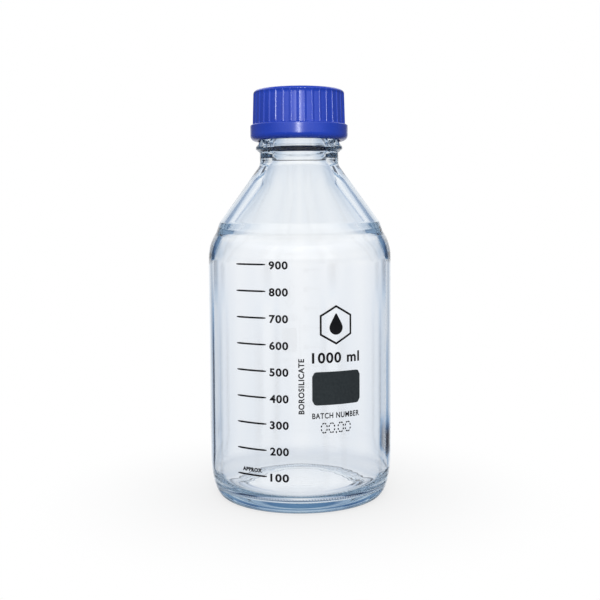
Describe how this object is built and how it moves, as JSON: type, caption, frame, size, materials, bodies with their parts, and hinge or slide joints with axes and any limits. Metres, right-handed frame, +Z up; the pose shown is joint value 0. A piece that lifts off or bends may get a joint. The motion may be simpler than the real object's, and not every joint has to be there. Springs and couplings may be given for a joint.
{
  "type": "laboratory reagent bottle",
  "caption": "Round clear glass laboratory bottle with a printed volume scale, sloping shoulder, short threaded neck and a blue ribbed screw cap.",
  "frame": {"origin": "centre of the base ring that the bottle stands on", "axes": "+Z runs up the bottle's axis towards the cap, and the printed scale faces -Y"},
  "size_m": [0.101, 0.101, 0.2242],
  "materials": {
    "bottle_glass": "clear borosilicate glass, smooth and glossy",
    "cap_plastic": "moulded blue polypropylene, satin",
    "ring_plastic": "moulded blue polypropylene, smooth",
    "seal_liner": "off-white liner disc, soft and matt",
    "black_enamel": "fired black enamel print",
    "grey_enamel": "fired dark grey enamel, slightly rough so that it can be written on"
  },
  "bodies": {
    "bottle": {"bottle": "bottle_glass", "pouring_ring": "ring_plastic", "marking_field": "grey_enamel", "graduation_100": "black_enamel", "graduation_200": "black_enamel", "graduation_300": "black_enamel", "graduation_400": "black_enamel", "graduation_500": "black_enamel", "graduation_600": "black_enamel", "graduation_700": "black_enamel", "graduation_800": "black_enamel", "graduation_900": "black_enamel"},
    "seal": {"cap_seal": "seal_liner"},
    "cap": {"screw_cap": "cap_plastic"}
  },
  "joints": [
    {"name": "cap_lift", "type": "slide", "parent": "bottle", "child": "seal", "axis": [0, 0, 1], "range_m": [0, 0.0401]},
    {"name": "cap_turn", "type": "hinge", "parent": "seal", "child": "cap", "pos_m": [0, 0, 0.1965], "axis": [0, 0, 1], "range_deg": [0, 3600]}
  ],
  "couplings": [
    {"joint": "cap_lift", "follows": "cap_turn", "m_per_rad": 0.00063662}
  ]
}
